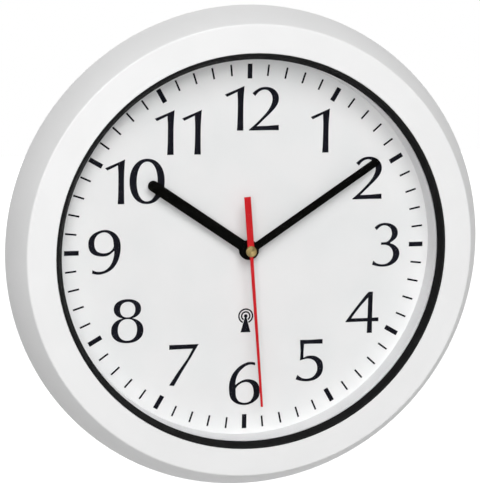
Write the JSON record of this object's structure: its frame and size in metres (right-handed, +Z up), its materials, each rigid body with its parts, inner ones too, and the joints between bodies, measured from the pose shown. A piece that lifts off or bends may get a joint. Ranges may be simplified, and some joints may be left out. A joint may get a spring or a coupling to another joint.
{
  "type": "radio-controlled wall clock",
  "caption": "Round white radio-controlled wall clock with a black trim ring, bar hands, and a two-motor movement behind the dial.",
  "frame": {"origin": "on the wall plane, on the axis of the hands", "axes": "+Z up to 12 o'clock, +X to 3 o'clock as seen from the front, +Y into the wall along the axis of the hands"},
  "size_m": [0.31, 0.0441, 0.31],
  "materials": {
    "white_abs": "satin",
    "black_abs": "satin",
    "clear_glass": "gloss",
    "dial_sheet": "matte",
    "dial_ink": "matte",
    "zinc_steel": "satin",
    "bare_steel": "satin",
    "movement_plastic": "matte",
    "turned_brass": "polished",
    "nylon": "satin",
    "board_laminate": "satin",
    "chip_resin": "gloss",
    "ferrite": "matte",
    "copper_wire": "satin",
    "cell_sleeve": "satin",
    "button_plastic": "satin",
    "hand_black": "matte",
    "hand_red": "satin"
  },
  "bodies": {
    "clock": {"case_front": "white_abs", "spacer_ring": "white_abs", "back_case": "white_abs", "trim_ring": "black_abs", "lens": "clear_glass", "dial": "dial_sheet", "minute_track": "dial_ink", "case_screws": "zinc_steel", "hanger_screws": "zinc_steel", "movement_screws": "zinc_steel", "hanger_plate": "zinc_steel", "movement_case": "movement_plastic", "movement_cover": "movement_plastic", "hand_bush": "turned_brass", "centre_plate": "nylon", "minute_bobbin": "nylon", "second_bobbin": "nylon", "circuit_board": "board_laminate", "control_chip": "chip_resin", "switch_blocks": "bare_steel", "quartz_crystals": "bare_steel", "ferrite_rod": "ferrite", "aerial_winding": "copper_wire", "minute_winding": "copper_wire", "second_winding": "copper_wire", "minute_stator": "bare_steel", "minute_core": "bare_steel", "second_stator": "bare_steel", "second_core": "bare_steel", "contact_plus": "bare_steel", "contact_minus": "bare_steel"},
    "minute_arbor": {"minute_wheel": "nylon", "minute_hand": "hand_black"},
    "hour_arbor": {"hour_wheel": "nylon", "hour_hand": "hand_black"},
    "motion_gear": {"motion_wheel": "nylon"},
    "minute_idler_gear": {"minute_idler": "nylon"},
    "minute_motor_rotor": {"minute_rotor": "ferrite"},
    "second_arbor": {"second_wheel": "nylon", "second_hand": "hand_red", "second_cap": "turned_brass"},
    "second_idler_gear": {"second_idler": "nylon"},
    "second_motor_rotor": {"second_rotor": "ferrite"},
    "cell": {"battery": "cell_sleeve"},
    "reset_key": {"reset_button": "button_plastic"},
    "receive_key": {"receive_button": "button_plastic"},
    "set_key": {"set_button": "button_plastic"}
  },
  "joints": [
    {"name": "minute_turn", "type": "hinge", "parent": "clock", "child": "minute_arbor", "pos_m": [0, 0, 0], "axis": [0, 1, 0], "continuous": true},
    {"name": "hour_turn", "type": "hinge", "parent": "clock", "child": "hour_arbor", "pos_m": [0, 0, 0], "axis": [0, 1, 0], "continuous": true},
    {"name": "motion_turn", "type": "hinge", "parent": "clock", "child": "motion_gear", "pos_m": [0, 0, 0.0075], "axis": [0, 1, 0], "continuous": true},
    {"name": "minute_idler_turn", "type": "hinge", "parent": "clock", "child": "minute_idler_gear", "pos_m": [0.01015, 0, -0.00369], "axis": [0, 1, 0], "continuous": true},
    {"name": "minute_rotor_turn", "type": "hinge", "parent": "clock", "child": "minute_motor_rotor", "pos_m": [0.0151, 0, -0.00864], "axis": [0, 1, 0], "continuous": true},
    {"name": "second_turn", "type": "hinge", "parent": "clock", "child": "second_arbor", "pos_m": [0, 0, 0], "axis": [0, 1, 0], "continuous": true},
    {"name": "second_idler_turn", "type": "hinge", "parent": "clock", "child": "second_idler_gear", "pos_m": [-0.01015, 0, -0.00369], "axis": [0, 1, 0], "continuous": true},
    {"name": "second_rotor_turn", "type": "hinge", "parent": "clock", "child": "second_motor_rotor", "pos_m": [-0.0151, 0, -0.00864], "axis": [0, 1, 0], "continuous": true},
    {"name": "cell_out", "type": "slide", "parent": "clock", "child": "cell", "axis": [0, 1, 0], "range_m": [0, 0.03]},
    {"name": "reset_press", "type": "slide", "parent": "clock", "child": "reset_key", "axis": [0, -1, 0], "range_m": [0, 0.0006], "stiffness_N_per_m": 800},
    {"name": "receive_press", "type": "slide", "parent": "clock", "child": "receive_key", "axis": [0, -1, 0], "range_m": [0, 0.0006], "stiffness_N_per_m": 800},
    {"name": "set_press", "type": "slide", "parent": "clock", "child": "set_key", "axis": [0, -1, 0], "range_m": [0, 0.0006], "stiffness_N_per_m": 800}
  ],
  "couplings": [
    {"joint": "hour_turn", "follows": "minute_turn", "ratio": 0.083333},
    {"joint": "motion_turn", "follows": "minute_turn", "ratio": -0.33333},
    {"joint": "minute_idler_turn", "follows": "minute_turn", "ratio": -5},
    {"joint": "minute_rotor_turn", "follows": "minute_turn", "ratio": 30},
    {"joint": "second_idler_turn", "follows": "second_turn", "ratio": -5},
    {"joint": "second_rotor_turn", "follows": "second_turn", "ratio": 30}
  ]
}
